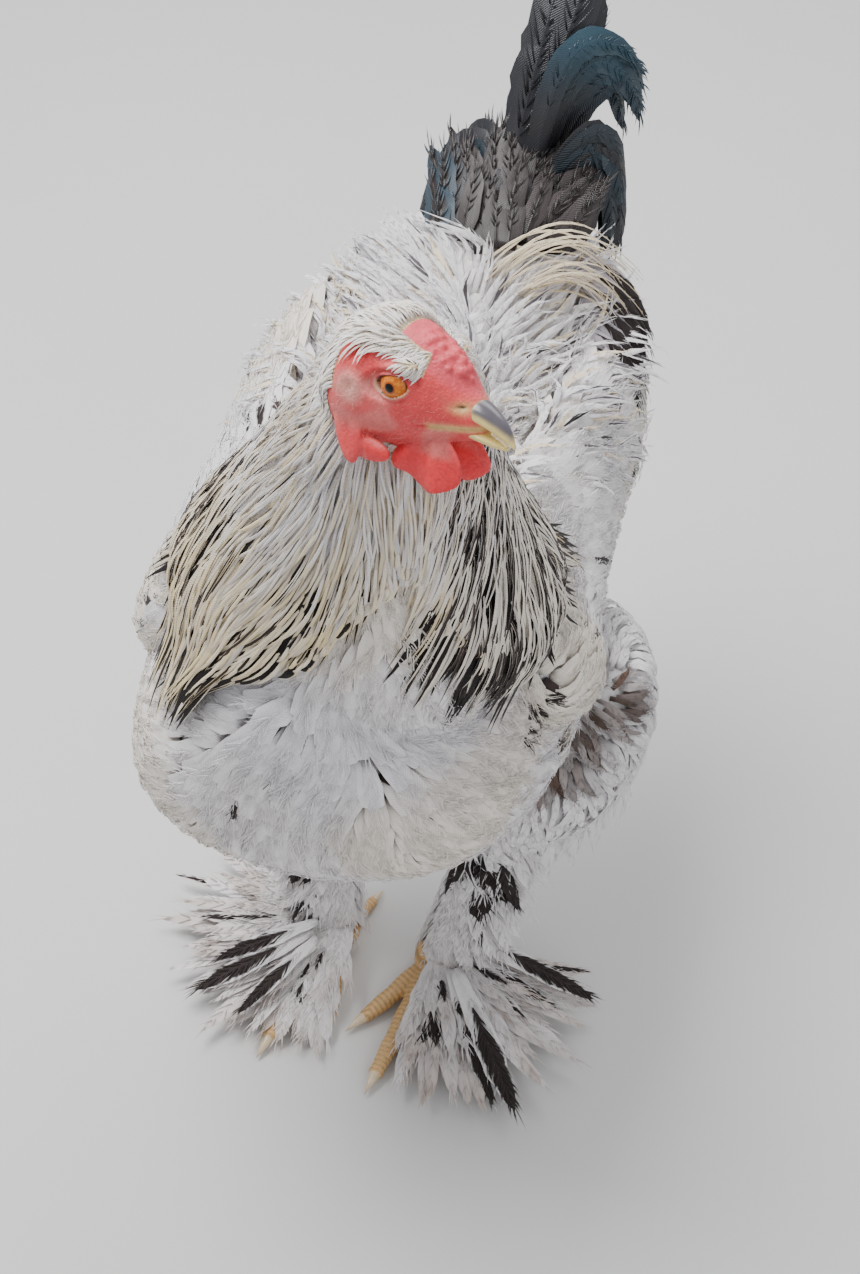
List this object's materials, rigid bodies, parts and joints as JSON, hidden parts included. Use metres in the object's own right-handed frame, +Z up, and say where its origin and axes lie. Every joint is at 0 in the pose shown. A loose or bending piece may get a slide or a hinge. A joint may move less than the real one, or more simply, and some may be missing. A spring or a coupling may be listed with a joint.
{
  "type": "brahma chicken",
  "caption": "Life-size standing brahma cock with feathered legs, pea comb, full hackle and upright tail, its head turned to its left.",
  "frame": {"origin": "centre of the bounding box at the floor that the toes stand on", "axes": "+Z up, the breast faces -Y and the tail +Y, the bird's left side is +X"},
  "size_m": [0.2955, 0.5483, 0.6108],
  "materials": {
    "white_plumage": "soft matte feathers with grey and black marks",
    "hackle_plumage": "long cream feathers with dark centres",
    "wing_plumage": "white feathers with black dashes",
    "tail_plumage": "black feathers with a blue green sheen",
    "leg_plumage": "white feathers blotched with black",
    "red_flesh": "bare knobbly skin, slightly moist",
    "toe_scales": "yellow horny scutes",
    "beak_horn": "smooth horn, dark along the ridge",
    "claw_horn": "pale worn horn",
    "eye": "wet, orange iris with a dark pupil"
  },
  "bodies": {
    "root": {"torso": "white_plumage", "neck": "hackle_plumage", "head": "red_flesh", "comb": "red_flesh", "wattle_left": "red_flesh", "wattle_right": "red_flesh", "earlobe_left": "red_flesh", "earlobe_right": "red_flesh", "eye_left": "eye", "eye_right": "eye", "beak_upper": "beak_horn", "beak_lower": "beak_horn", "wing_left": "wing_plumage", "wing_right": "wing_plumage", "tail": "tail_plumage", "thigh_left": "white_plumage", "thigh_right": "white_plumage", "shank_left": "leg_plumage", "shank_right": "leg_plumage", "foot_left": "toe_scales", "foot_right": "toe_scales", "claw_left_inner": "claw_horn", "claw_left_middle": "claw_horn", "claw_left_outer": "claw_horn", "claw_left_hind": "claw_horn", "claw_right_inner": "claw_horn", "claw_right_middle": "claw_horn", "claw_right_outer": "claw_horn", "claw_right_hind": "claw_horn"}
  },
  "joints": []
}
